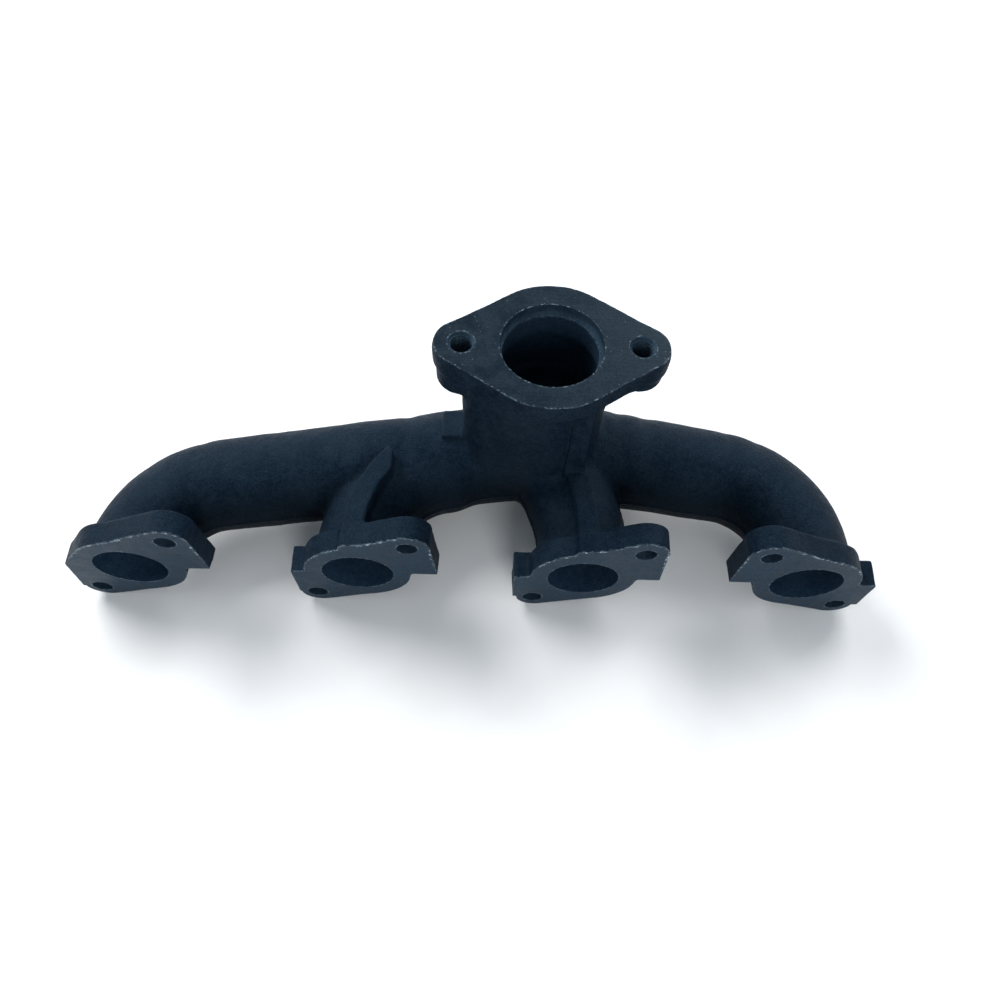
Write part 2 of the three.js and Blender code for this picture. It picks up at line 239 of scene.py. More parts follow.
def bspline_weights(coordinates, cell, low, count):
    t = (coordinates[:, None] - low) / cell - np.arange(count)[None, :]
    t = np.abs(t)
    inner = 2 / 3 - t * t + t ** 3 / 2
    outer = (2 - t) ** 3 / 6
    return np.where(t < 1, inner, np.where(t < 2, outer, 0.0)).astype(np.float32)


def smooth_noise(x, y, z, cell, seed):
    """Random waves of about that wavelength over a grid, with a spread near 1."""
    values = [np.ravel(v) for v in (x, y, z)]
    lows = [v[0] - 2 * cell for v in values]
    counts = [int((v[-1] - low) / cell) + 4 for v, low in zip(values, lows)]
    grid = np.random.default_rng(seed).standard_normal(counts).astype(np.float32)
    for axis, (v, low, count) in enumerate(zip(values, lows, counts)):
        weights = bspline_weights(v, cell, low, count)
        grid = np.moveaxis(np.tensordot(weights, grid, axes=(1, axis)), 0, axis)
    return grid * 2.0


class Passage:
    """Plan of one gas passage: straight out of a port, round a bend, and straight on."""

    def __init__(self, port_x, side, straight, radius, slope, run=0.0):
        self.port_x, self.side, self.straight, self.radius = port_x, side, straight, radius
        self.sweep = math.radians(90 - slope)
        self.centre = (port_x + side * radius, straight)
        self.run = run
        self.start = -6.0
        self.bend_at = straight - self.start
        self.end_at = self.bend_at + radius * self.sweep
        self.length = self.end_at + run
        self.end = (self.centre[0] - side * radius * math.cos(self.sweep),
                    straight + radius * math.sin(self.sweep))
        self.heading = (side * math.sin(self.sweep), math.cos(self.sweep))

    def nearest(self, x, y):
        """Distance in plan to the centre line, and how far along it that is."""
        t = np.clip(y - self.start, 0, self.bend_at)
        best = np.hypot(x - self.port_x, y - self.start - t)
        along = t + 0 * x
        dx, dy = -self.side * (x - self.centre[0]), y - self.centre[1]
        angle = np.clip(np.arctan2(dy, dx), 0, self.sweep)
        gap = np.hypot(dx - self.radius * np.cos(angle), dy - self.radius * np.sin(angle))
        along = np.where(gap < best, self.bend_at + self.radius * angle, along)
        best = np.minimum(best, gap)
        ex, ey = x - self.end[0], y - self.end[1]
        t = np.clip(ex * self.heading[0] + ey * self.heading[1], 0, self.run)
        gap = np.hypot(ex - t * self.heading[0], ey - t * self.heading[1])
        along = np.where(gap < best, self.end_at + t, along)
        return np.minimum(best, gap), along

    def tube(self, x, y, z, stations, radii):
        """Field of a tube round the centre line, its radius read off along the way."""
        plan, along = self.nearest(x, y)
        return np.hypot(plan, z) - np.interp(along, stations, radii)


elbow_left = Passage(PORT_X[0], 1, 1.0, 41.9, 9.55, 150.0)
elbow_right = Passage(PORT_X[3], -1, 13.0, 41.0, 9.3, 90.0)
runner_2 = Passage(PORT_X[1], 1, 10.0, 43.0, 9.55)
runner_3 = Passage(PORT_X[2], -1, 12.0, 75.0, 47.0)
rib_2 = Passage(PORT_X[1], 1, 8.0, 56.6, 35.0)
rib_3 = Passage(PORT_X[2], -1, 8.0, 121.0, 60.0)
RIBS = {2: (rib_2, RIB_2_END), 3: (rib_3, 62.0)}         # centre line and largest X


def stations(passage, port_r, bend_r, end_r=None):
    at = [6.0, passage.end_at, passage.length + 1e-3]
    return at, [port_r, bend_r, end_r or bend_r]


TUBES = [
    (elbow_left, *stations(elbow_left, 19.0, 20.9, LOG_R), 1.0),
    (elbow_right, *stations(elbow_right, 19.6, 21.0, LOG_R), 6.0),
    (runner_2, *stations(runner_2, 18.6, 19.4), 3.0),
    (runner_3, *stations(runner_3, 19.6, 21.0), 2.5),
]


def port_flange(x, y, z, number):
    """A ring round the port with an upper and a lower lobe, both cut off at the parting plane."""
    port_x, side = PORT_X[number], SIDES[number]
    upper_edge, lower_edge = UPPER_EDGES[number], LOWER_EDGES[number]
    u = side * (x - port_x)
    draft = FLANGE_DRAFT * (FLANGE_T - y)
    ring = np.hypot(u, z) - RING_R
    upper = tangent_hull(u, z, RING_R, UPPER_BOLT, UPPER_LOBE_R)
    lobe_u = UPPER_BOLT[0] + UPPER_LOBE_R * math.cos(LOBE_FLAT)
    lobe_z = UPPER_BOLT[1] + UPPER_LOBE_R * math.sin(LOBE_FLAT)
    lean = (upper_edge - lobe_u) / lobe_z
    flat = np.maximum((u - upper_edge + lean * z) / math.hypot(1, lean), -u)
    upper = np.minimum(upper, extrude(flat, slab(z, -PAST, UPPER_BOLT[1])))
    lower = tangent_hull(u, z, RING_R, LOWER_LOBE, LOWER_LOBE_R)
    flat = slab(u, -lower_edge, 0) + 0 * z
    if number == 0:
        flat = np.maximum(flat, -u - lower_edge + CHEEK_LEAN * (z - LOWER_LOBE[1]))
    lower = np.minimum(lower, extrude(flat, slab(z, LOWER_LOBE[1], PAST)))
    lower = np.maximum(lower, z)
    if number == 0:
        ring = np.minimum(ring, tangent_hull(u, z, RING_R, CHEEK, CHEEK_R))
    outline = union(ring, np.maximum(upper, -z), LOBE_FILLET)
    outline = union(outline, lower, LOBE_FILLET)
    plate = extrude(outline + draft, slab(y, -PAST, FLANGE_T), FLANGE_ROUND)
    return np.minimum(plate, extrude(lower + draft, slab(y, -PAST, LOWER_LOBE_T), FLANGE_ROUND))


def outlet_outline(x, y):
    u, v = x - OUTLET_X, y - OUTLET_Y
    left = tangent_hull(u, v, RIM_R, (-STUD_OFFSET, 0.0), STUD_LOBE_R)
    right = tangent_hull(u, v, RIM_R, (STUD_OFFSET, 0.0), STUD_LOBE_R)
    return np.minimum(left, right)


def neck_outline(x, y, grow=0.0):
    """Round below the outlet bore, drawn out to a smaller round end at its front left."""
    u, v = x - OUTLET_X - NECK_SHIFT[0], y - OUTLET_Y - NECK_SHIFT[1]
    return tangent_hull(u, v, NECK_R, NECK_DRAWN, NECK_DRAWN_R) - grow


def empty_field(x, y, z):
    return np.full(np.broadcast_shapes(x.shape, y.shape, z.shape), FAR, np.float32)


def tubes_field(x, y, z):
    """Runners, elbows and log, with the fin that the mould's parting plane leaves."""
    field = empty_field(x, y, z)
    for passage, at, radii, fillet in TUBES:
        field = union(field, passage.tube(x, y, z, at, radii), fillet)
    upper = np.clip(z / DENT_FROM, 0, 1)
    for dent_x, depth, width in DENTS:
        field = field + depth * upper * np.exp(-((x - dent_x) / width) ** 2)
    return field - FIN * np.exp(-(z / FIN_HALF) ** 2)


def boss(x, y, z, stud_x, bottom):
    reach = np.hypot(x - stud_x, y - OUTLET_Y) - STUD_LOBE_R + 0.2
    return extrude(reach, slab(z, bottom, OUTLET_Z - 2), BOSS_ROUND)


def boss_web(x, y, z):
    """The web that leans out from the neck to the right boss."""
    web_x = OUTLET_X + NECK_R - 4
    lean = (x - web_x) * WEB_SLOPE - (z - WEB_FOOT)
    web = np.maximum(slab(x, web_x, STUD_X[1] + 4), lean * 0.85)
    web = extrude(web, slab(y, OUTLET_Y - WEB_T / 2, OUTLET_Y + WEB_T / 2), WEB_ROUND)
    return np.maximum(web, z - OUTLET_Z + 4)


def runner_rib(x, y, z, passage, last_x):
    plan, along = passage.nearest(x, y)
    rib = extrude(plan - RIB_W / 2, slab(z, 0, RIB_TOP), RIB_ROUND)
    return np.maximum(np.maximum(rib, along - RIB_LENGTH), x - last_x)


def neck_rib(x, y, z):
    taper = NECK_RIB_TAPER * (z - NECK_RIB[0][2])
    return block(x, y, z, *NECK_RIB, NECK_RIB_ROUND) + taper


def outlet_plate(x, y, z):
    height = slab(z, OUTLET_Z - PLATE_T, OUTLET_Z + PAST)
    return extrude(outlet_outline(x, y), height, PLATE_ROUND)


def skin_field(x, y, z):
    """Outside of the casting, before any machining."""
    field = tubes_field(x, y, z)
    neck = extrude(neck_outline(x, y), slab(z, 6, OUTLET_Z - 3), NECK_ROUND)
    field = union(field, neck, NECK_FILLET)
    for stud_x, bottom in zip(STUD_X, BOSS_BOTTOM):
        field = union(field, boss(x, y, z, stud_x, bottom), BOSS_FILLET)
    field = union(field, boss_web(x, y, z), WEB_FILLET)
    for passage, last_x in RIBS.values():
        field = union(field, runner_rib(x, y, z, passage, last_x), RIB_FILLET)
    field = union(field, neck_rib(x, y, z), NECK_RIB_FILLET)
    field = union(field, block(x, y, z, *FOOT_PAD, PAD_ROUND), RIB_FILLET)
    field = union(field, outlet_plate(x, y, z), PLATE_FILLET)
    for number in range(len(FLANGES)):
        field = union(field, port_flange(x, y, z, number), FLANGE_FILLET)
    return field


def core_field(x, y, z):
    """The cast gas passages."""
    field = empty_field(x, y, z)
    for passage, at, radii, _own_fillet in TUBES:
        inner = [PORT_BORE_R, *(r - WALL for r in radii[1:])]
        field = union(field, passage.tube(x, y, z, at, inner), CORE_FILLET)
    taper = NECK_CORE_TAPER * np.maximum(z - 20, 0)
    neck = extrude(neck_outline(x, y, -NECK_WALL) + taper, slab(z, 0, NECK_CORE_TOP), 3.0)
    throat = np.hypot(x - OUTLET_X - THROAT_SHIFT[0], y - OUTLET_Y - THROAT_SHIFT[1]) - THROAT_R
    throat = np.maximum(throat, slab(z, THROAT_BOTTOM, THROAT_TOP))
    return union(union(field, neck, CORE_FILLET + 1), throat, CORE_FILLET)


def drilled_field(x, y, z):
    """What is bored or drilled: bolt holes, outlet bore and tapped holes."""
    field = empty_field(x, y, z)
    for port_x, side in zip(PORT_X, SIDES):
        for u, v in (UPPER_BOLT, LOWER_BOLT):
            hole = np.hypot(x - port_x - side * u, z - v) - BOLT_R
            field = np.minimum(field, np.maximum(hole, y - FLANGE_T - 4))
    for stud_x in STUD_X:
        hole = np.hypot(x - stud_x, y - OUTLET_Y) - COUNTERSINK_R
        field = np.minimum(field, np.maximum(hole, OUTLET_Z - STUD_DEPTH - z))
    bore = np.hypot(x - OUTLET_X, y - OUTLET_Y) - OUTLET_BORE_R
    cone = (bore + (OUTLET_Z - BORE_DEPTH - z) * BORE_CONE) / math.hypot(1, BORE_CONE)
    return np.minimum(field, np.maximum(bore, cone))


# ------------------------------------------------------------------ grid over the object
MARGIN = 3 * VOXEL
OFF_WHOLE = 0.0137
WAVES = (9.0, 0.15)                         # length and height of the skin's long waves
LUMPS = (3.0, 0.06)
CORE_WAVES = (8.0, 0.12)
ROUGH_SPOTS = (((-66, 31, 7), 6.0), ((27, 29, 2), 7.0))    # where the mould was worn: place, radius
ROUGH_HEIGHT = 0.35


def axis(low, high):
    """Samples that never fall on a whole millimetre, so no face lies on a sample."""
    count = int((high - low + 2 * MARGIN) / VOXEL) + 2
    return (low - MARGIN + OFF_WHOLE + VOXEL * np.arange(count)).astype(np.float32)


low_mm = np.array(cad_low) / MM - ORIGIN
high_mm = np.array(cad_high) / MM - ORIGIN
AX = [axis(lo, hi) for lo, hi in zip(low_mm, high_mm)]
GX = AX[0][:, None, None]
GY = AX[1][None, :, None]
GZ = AX[2][None, None, :]

skin = skin_field(GX, GY, GZ).astype(np.float32)
skin += WAVES[1] * smooth_noise(*AX, WAVES[0], seed=11)
lumps = smooth_noise(*AX, LUMPS[0], seed=12)
skin += LUMPS[1] * lumps
for (lump_x, lump_y, lump_z), lump_r in ROUGH_SPOTS:
    near = ((GX - lump_x) ** 2 + (GY - lump_y) ** 2 + (GZ - lump_z) ** 2) / lump_r ** 2
    skin += ROUGH_HEIGHT * np.exp(-near) * lumps
core = core_field(GX, GY, GZ).astype(np.float32)
core += CORE_WAVES[1] * smooth_noise(*AX, CORE_WAVES[0], seed=13)
drilled = drilled_field(GX, GY, GZ).astype(np.float32)

MACHINED, DRILLED, CUT = 1, 3, 4            # labels: places in FIELDS, and CUT for a seam
HAIR = 2e-6                                 # metres kept clear of the CAD's box
WORLD_LOW, WORLD_HIGH = np.array(cad_low) + HAIR, np.array(cad_high) - HAIR


# ------------------------------------------------------------------ meshes from the fields
CORNERS = np.array([(i, j, k) for i in (0, 1) for j in (0, 1) for k in (0, 1)])
EDGES = [(a, b) for a in range(8) for b in range(a + 1, 8)
         if np.abs(CORNERS[a] - CORNERS[b]).sum() == 1]


def sample(volume, p):
    """Trilinear reading of a volume at points given in grid steps."""
    limit = np.array(volume.shape[:3]) - 2
    base = np.clip(np.floor(p).astype(np.int64), 0, limit)
    f = p - base
    total = 0
    for i, j, k in CORNERS:
        weight = (f[:, 0] if i else 1 - f[:, 0]) * (f[:, 1] if j else 1 - f[:, 1])
        weight = weight * (f[:, 2] if k else 1 - f[:, 2])
        value = volume[base[:, 0] + i, base[:, 1] + j, base[:, 2] + k]
        total = total + (weight[:, None] * value if value.ndim > 1 else weight * value)
    return total


# ------------------------------------------------------------------ materials
class Graph:
    """Nodes of one material. Places are in millimetres, and heights too."""

    def __init__(self, name):
        self.material = bpy.data.materials.new(name)
        self.material.use_nodes = True
        self.tree = self.material.node_tree
        self.shader = self.tree.nodes["Principled BSDF"]
        self.place = self.add("ShaderNodeTexCoord").outputs["Object"]
        self.place = self.vector("MULTIPLY", self.place, (1 / MM, 1 / MM, 1 / MM))

    def add(self, kind, **settings):
        node = self.tree.nodes.new(kind)
        for key, value in settings.items():
            setattr(node, key, value)
        return node

    def put(self, socket, value):
        if isinstance(value, bpy.types.NodeSocket):
            self.tree.links.new(value, socket)
        else:
            socket.default_value = value

    def vector(self, operation, a, b):
        node = self.add("ShaderNodeVectorMath", operation=operation)
        self.put(node.inputs[0], a)
        self.put(node.inputs[1], b)
        return node.outputs[0]

    def math(self, operation, a, b=0.0, clamp=False):
        node = self.add("ShaderNodeMath", operation=operation, use_clamp=clamp)
        self.put(node.inputs[0], a)
        self.put(node.inputs[1], b)
        return node.outputs[0]

    def noise(self, size, detail=2.0, roughness=0.5, stretch=(1, 1, 1), shift=0.0):
        """Even noise from 0 to 1 with features of about `size` millimetres."""
        node = self.add("ShaderNodeTexNoise")
        place = self.vector("MULTIPLY", self.place, stretch)
        place = self.vector("ADD", place, (shift, shift, shift))
        self.put(node.inputs["Vector"], place)
        self.put(node.inputs["Scale"], 1 / size)
        self.put(node.inputs["Detail"], detail)
        self.put(node.inputs["Roughness"], roughness)
        return node.outputs["Fac"]

    def cells(self, size, shift=0.0):
        """Distance to the nearest of scattered points, in cells of `size` millimetres."""
        node = self.add("ShaderNodeTexVoronoi")
        self.put(node.inputs["Vector"], self.vector("ADD", self.place, (shift, shift, shift)))
        self.put(node.inputs["Scale"], 1 / size)
        return node.outputs["Distance"]

    def remap(self, value, low, high, to_low=0.0, to_high=1.0):
        node = self.add("ShaderNodeMapRange", interpolation_type="SMOOTHSTEP")
        for socket, entry in zip(node.inputs, (value, low, high, to_low, to_high)):
            self.put(socket, entry)
        return node.outputs[0]

    def colour(self, factor, a, b):
        node = self.add("ShaderNodeMix", data_type="RGBA")
        self.put(node.inputs["Factor"], factor)
        for socket, entry in zip([s for s in node.inputs if s.type == "RGBA"], (a, b)):
            self.put(socket, (*entry, 1) if isinstance(entry, tuple) else entry)
        return [s for s in node.outputs if s.type == "RGBA"][0]

    def share(self, *spans):
        """Product of ramps over this object's frame: each is (axis, low, high), in mm."""
        node = self.add("ShaderNodeSeparateXYZ")
        self.put(node.inputs[0], self.place)
        result = 1.0
        for axis_no, low, high in spans:
            shift = ORIGIN[axis_no]
            ramp = self.remap(node.outputs[axis_no], low + shift, high + shift)
            result = self.math("MULTIPLY", ramp, result)
        return result

    def attribute(self, name):
        return self.add("ShaderNodeAttribute", attribute_name=name).outputs["Fac"]

    def bump(self, height, strength=1.0):
        node = self.add("ShaderNodeBump")
        self.put(node.inputs["Height"], height)
        self.put(node.inputs["Distance"], MM)
        self.put(node.inputs["Strength"], strength)
        return node.outputs["Normal"]

    def total(self, *terms):
        """Sum of (value, weight) pairs."""
        result = 0.0
        for value, weight in terms:
            result = self.math("ADD", self.math("MULTIPLY", value, weight), result)
        return result

    def finish(self, **sockets):
        for name, value in sockets.items():
            self.put(self.shader.inputs[name.replace("_", " ")], value)
        return self.material


def cast_skin(name, dark, light, worn, sheen, shade_factor, shade_spans):
    """Satin coating over a fine sand-cast skin, rubbed bright on the sharp edges.

    Painted shade: the colour is darkened by the given factor where all of the given spans hold."""
    g = Graph(name)
    broad = g.noise(16.0, 3.0, 0.55)
    patches = g.noise(3.2, 4.0, 0.6, shift=7.0)
    grain = g.noise(0.75, 3.0, 0.75, shift=3.0)
    tone = g.total((broad, 0.35), (patches, 0.4), (grain, 0.9))
    colour = g.colour(g.remap(tone, 0.62, 1.02), dark, light)
    # painted shade: the colour is darkened where all of the given spans hold
    shaded_colour = g.vector("MULTIPLY", colour, (shade_factor, shade_factor, shade_factor))
    colour = g.colour(g.share(*shade_spans), colour, shaded_colour)
    specks = g.remap(g.cells(1.5, 5.0), 0.13, 0.06)
    few = g.remap(g.noise(7.0, 2.0, 0.5, shift=11.0), 0.52, 0.68)
    specks = g.math("MULTIPLY", specks, few)
    edge = g.remap(g.attribute("edge_mm"), 0.8, 0.1)
    ragged = g.remap(g.noise(2.4, 4.0, 0.7, shift=19.0), 0.42, 0.66)
    wear = g.math("MULTIPLY", edge, ragged)
    wear = g.math("MAXIMUM", wear, g.math("MULTIPLY", specks, 0.45))
    colour = g.colour(wear, colour, worn)
    pits = g.remap(g.cells(1.9, 23.0), 0.0, 0.30)
    swell = g.noise(5.0, 2.0, 0.5, shift=2.0)
    sand = g.noise(1.5, 3.0, 0.6, shift=4.0)
    height = g.total((swell, 0.5), (sand, 0.22), (grain, 0.34), (pits, 0.06))
    rough = g.remap(patches, 0.3, 0.7, sheen - 0.07, sheen + 0.07)
    return g.finish(Base_Color=colour, Roughness=rough, Normal=g.bump(height, 0.8),
                    Specular_IOR_Level=0.07, Specular_Tint=(0.5, 0.76, 1.0, 1.0))


def machined_face(name, dark, light, worn, sheen, chip_spans):
    """Milled iron under a thin coat: soft blotches, faint cutter lines and bright edges.

    Where all of `chip_spans` hold, the coat has chipped off along the edges."""
    g = Graph(name)
    blotch = g.noise(7.0, 4.0, 0.6)
    fine = g.noise(1.1, 3.0, 0.65, shift=3.0)
    lines = g.noise(0.5, 2.0, 0.5, stretch=(0.05, 1.0, 1.0), shift=9.0)
    tone = g.total((blotch, 0.65), (fine, 0.75), (lines, 0.3))
    colour = g.colour(g.remap(tone, 0.66, 1.04), dark, light)
    edge = g.remap(g.attribute("edge_mm"), 0.7, 0.05)
    ragged = g.remap(g.noise(1.3, 3.0, 0.75, shift=19.0), 0.50, 0.66)
    wear = g.math("MULTIPLY", edge, ragged)
    specks = g.math("MULTIPLY", g.remap(g.cells(2.3, 5.0), 0.12, 0.06),
                    g.remap(g.noise(9.0, 2.0, 0.5, shift=31.0), 0.5, 0.62))
    wear = g.math("MAXIMUM", wear, g.math("MULTIPLY", specks, 0.6))
    colour = g.colour(wear, colour, worn)
    chips = g.remap(g.noise(3.0, 5.0, 0.85, shift=41.0), 0.53, 0.60)
    chips = g.math("MULTIPLY", chips, g.remap(g.attribute("rim_mm"), 1.3, 0.5))
    chips = g.math("MULTIPLY", chips, g.share(*chip_spans))
    colour = g.colour(chips, colour, CHIPPED)
    height = g.total((lines, 0.035), (fine, 0.05), (blotch, 0.1))
    rough = g.remap(blotch, 0.3, 0.7, sheen - 0.06, sheen + 0.1)
    return g.finish(Base_Color=colour, Roughness=rough, Normal=g.bump(height, 0.7),
                    Specular_IOR_Level=0.16, Specular_Tint=(0.5, 0.78, 1.0, 1.0))


def plain_floor():
    g = Graph("floor")
    faint = g.remap(g.noise(60.0, 2.0, 0.5), 0.3, 0.7, 0.93, 1.0)
    shade = g.math("MULTIPLY", faint, FLOOR_SHADE)
    return g.finish(Base_Color=g.colour(shade, (0.0, 0.0, 0.0), (1.0, 1.0, 1.0)), Roughness=0.9)


FLOOR_SHADE = 0.95
CHIPPED = (0.42, 0.50, 0.56)
Y_AXIS, Z_AXIS = 1, 2
# painted shade: where these spans hold, low down behind the port flanges, the cast skin is darkened
UNDERSIDE_SHADE = ((Y_AXIS, 12, 18), (Z_AXIS, 20, 4))
# painted shade: the core skin darkens from Z 16 up to Z 40 and above, inside the neck
NECK_BORE_SHADE = ((Z_AXIS, 16, 40),)
FRONT_TOP = ((Y_AXIS, 3, 1), (Z_AXIS, 6, 16))
NOWHERE = ((Z_AXIS, 900, 901),)
MATERIALS = [                               # in the order of FIELDS
    # cast skin: painted shade, 0.4 times as bright, in the spans low down behind the port flanges
    cast_skin("cast_skin", dark=(0.0009, 0.0056, 0.0140), light=(0.0098, 0.0198, 0.0325),
              worn=(0.10, 0.14, 0.17), sheen=0.55, shade_factor=0.4, shade_spans=UNDERSIDE_SHADE),
    # painted light: the port faces take a lighter copy of the machined finish than the outlet face
    machined_face("port_face_lit_copy", dark=(0.0025, 0.0132, 0.0280), light=(0.0145, 0.0335, 0.0560),
                  worn=(0.18, 0.24, 0.29), sheen=0.42, chip_spans=FRONT_TOP),
    # painted light: the core skin has the cast skin's coat in colours some 2.6 times lighter, standing
    # in for light inside the passages; painted shade darkens it again higher up in the neck
    cast_skin("core_skin", dark=(0.010, 0.028, 0.055), light=(0.026, 0.052, 0.088),
              worn=(0.03, 0.06, 0.09), sheen=0.7, shade_factor=0.6, shade_spans=NECK_BORE_SHADE),
    machined_face("drilled", dark=(0.010, 0.024, 0.042), light=(0.024, 0.042, 0.064),
                  worn=(0.06, 0.09, 0.11), sheen=0.5, chip_spans=NOWHERE),
]
# painted shade: the outlet face takes a darker copy of the port faces' machined finish
SHADED_OUTLET_FACE = machined_face("outlet_face_shaded_copy", dark=(0.0016, 0.0064, 0.0125),
                            light=(0.0092, 0.0165, 0.0250), worn=(0.15, 0.20, 0.24),
                            sheen=0.44, chip_spans=NOWHERE)


# ------------------------------------------------------------------ sections
SEAM = 1.5            # a section that stands on another ends this far below its skin
WIDE = 42.0           # half the width that a port flange may take
RIB_BACK = 56.0       # Y behind which the skin belongs to the log
LOG_CUTS = (-72, -5, 80)
ENDLESS = 260.0


def within(x, y, z, low, high):
    return np.maximum.reduce([slab(v, lo, hi) + 0 * (x + y + z)
                              for v, lo, hi in zip((x, y, z), low, high)])


def below_skin(x, y, z, tubes):
    """Positive down to SEAM below the skin of the tubes."""
    fields = [passage.tube(x, y, z, at, radii) for passage, at, radii, _fillet in tubes]
    return np.minimum.reduce(fields) + SEAM


def log_axis_plan(x):
    """How far back the log's axis lies at x."""
    halves = [elbow.end[1] + (x - elbow.end[0]) * elbow.heading[1] / elbow.heading[0]
              for elbow in (elbow_left, elbow_right)]
    return np.minimum(*halves)


LOG_TUBES = TUBES[:2]


def flange_region(number):
    def region(x, y, z):
        u = x - PORT_X[number]
        lobe = np.maximum.reduce([slab(y, -PAST, LOWER_LOBE_T + 1) + 0 * (u + z),
                                  z + 0 * (u + y),
                                  RING_R + 1.2 - np.hypot(u, z) + 0 * y])
        plate = slab(y, -PAST, FLANGE_T + 1)
        return np.maximum(np.minimum(plate, lobe), slab(u, -WIDE, WIDE))
    return region


def boss_region(number):
    def region(x, y, z):
        reach = np.hypot(x - STUD_X[number], y - OUTLET_Y) - STUD_LOBE_R - 2
        height = slab(z, BOSS_BOTTOM[number] - 2, OUTLET_Z)
        beside_neck = -neck_outline(x, y, -SEAM)
        return np.maximum.reduce([reach + 0 * z, height + 0 * reach, beside_neck + 0 * z])
    return region


def gusset_region(x, y, z):
    web = within(x, y, z, (52, 54, 40), (78, 72, OUTLET_Z))
    return np.maximum(web, -neck_outline(x, y, -SEAM))


def neck_rib_region(x, y, z):
    low, high = NECK_RIB
    margin = NECK_RIB_FILLET + 1.4
    band = within(x, y, z, (low[0] - margin, low[1] - 1.0, 22), (high[0] + margin, 47, OUTLET_Z))
    return np.maximum(band, -neck_outline(x, y, -SEAM))


def runner_rib_region(number):
    passage, last_x = RIBS[number]

    def region(x, y, z):
        plan = passage.nearest(x, y)[0]
        below = below_skin(x, y, z, [TUBES[number], *LOG_TUBES])
        return np.maximum.reduce([plan - RIB_W / 2 - 1.4 + 0 * z, -below, 9 - z + 0 * plan,
                                  y - RIB_BACK + 0 * below, x - last_x - 1.6 + 0 * below])
    return region


def pad_region(x, y, z):
    low, high = FOOT_PAD
    pad = within(x, y, z, (low[0] - 2, low[1] - 2, 9), (-1, high[1] + 2, 30))
    beside_neck = -neck_outline(x, y, -SEAM)
    return np.maximum.reduce([pad, -below_skin(x, y, z, LOG_TUBES), beside_neck + 0 * z])


def neck_region(x, y, z):
    below = below_skin(x, y, z, [*LOG_TUBES, TUBES[3]])
    return np.maximum.reduce([neck_outline(x, y, 5.0) + 0 * z, 0.5 - z + 0 * below, -below])


def runner_region(number):
    passage, at, radii, fillet = TUBES[number]

    def region(x, y, z):
        near = passage.tube(x, y, z, at, radii) - fillet - 0.5
        log_front = y - log_axis_plan(x) + 8
        return np.maximum.reduce([near, -below_skin(x, y, z, LOG_TUBES), log_front + 0 * near])
    return region


def between(low, high):
    def region(x, y, z):
        return slab(x, low, high) + 0 * (y + z)
    return region


LONG = ("elbow_left", "log_left", "log_junction_2", "log_centre", "log_right", "elbow_right")
LONG_CUTS = (-ENDLESS, elbow_left.end[0], *LOG_CUTS, elbow_right.end[0], ENDLESS)
REGIONS = {
    **{name: flange_region(number) for number, name in enumerate(FLANGES)},
    "outlet_flange": lambda x, y, z: OUTLET_Z - PLATE_T - 1 - z + 0 * (x + y),
    "stud_boss_left": boss_region(0),
    "stud_boss_right": boss_region(1),
    "boss_gusset_right": gusset_region,
    "neck_rib": neck_rib_region,
    "runner_3_rib": runner_rib_region(3),
    "runner_2_rib": runner_rib_region(2),
    "neck_foot_pad": pad_region,
    "outlet_neck": neck_region,
    "runner_2": runner_region(2),
    "runner_3": runner_region(3),
    **{name: between(*ends) for name, ends in zip(LONG, zip(LONG_CUTS, LONG_CUTS[1:]))},
}
REACH = 9.0           # how far past its CAD node's box a section may run, fillets and all


def reach_of(name):
    if name in LONG:
        return low_mm - REACH, high_mm + REACH
    low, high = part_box(name)
    return np.array(low) / MM - ORIGIN - REACH, np.array(high) / MM - ORIGIN + REACH


def bounded(name, x, y, z):
    return np.maximum(REGIONS[name](x, y, z), within(x, y, z, *reach_of(name)))


# ------------------------------------------------------------------ one mesh per section
FIELDS = [skin, np.maximum(-GY, GZ - OUTLET_Z) + 0 * skin, -core, -drilled]
SLOPES = [np.stack(np.gradient(f, VOXEL), axis=-1).astype(np.float32) for f in FIELDS]
GRID_START = np.array([a[0] for a in AX])
OUTSIDE = -1
PULL_TURNS = 8
LONGEST_PULL = 0.9                          # in grid steps
LEAST_SLOPE = 0.05
SEAM_WEIGHT = 0.2


def find_owners(inside):
    """Which section each sample of metal belongs to: the first whose region holds it."""
    owner = np.full(inside.shape, OUTSIDE, np.int8)
    for number, name in enumerate(REGIONS):
        picks = tuple(slice(max(0, int(np.searchsorted(a, lo)) - 1), int(np.searchsorted(a, hi)) + 1)
                      for a, lo, hi in zip(AX, *reach_of(name)))
        x, y, z = np.meshgrid(*[a[s] for a, s in zip(AX, picks)], indexing="ij", sparse=True)
        free = inside[picks] & (owner[picks] == OUTSIDE)
        owner[picks][free & (bounded(name, x, y, z) < 0)] = number
    return owner


def corner_values(volume, where):
    spots = [where + c for c in CORNERS]
    return np.stack([volume[c[:, 0], c[:, 1], c[:, 2]] for c in spots], axis=1)


def pull(value, slope):
    """How far to move each point, in grid steps, to bring its field's value to nothing."""
    size = np.maximum((slope ** 2).sum(axis=1), LEAST_SLOPE)
    return (value / size)[:, None] * slope / VOXEL


def region_pull(name, p):
    """The pull of a region's boundary, with its slope from small steps."""
    step = 0.05
    x, y, z = (GRID_START + p * VOXEL).T
    value = bounded(name, x, y, z)
    slope = np.stack([bounded(name, x + step, y, z) - value, bounded(name, x, y + step, z) - value,
                      bounded(name, x, y, z + step) - value], axis=1) / step
    return pull(value, slope)


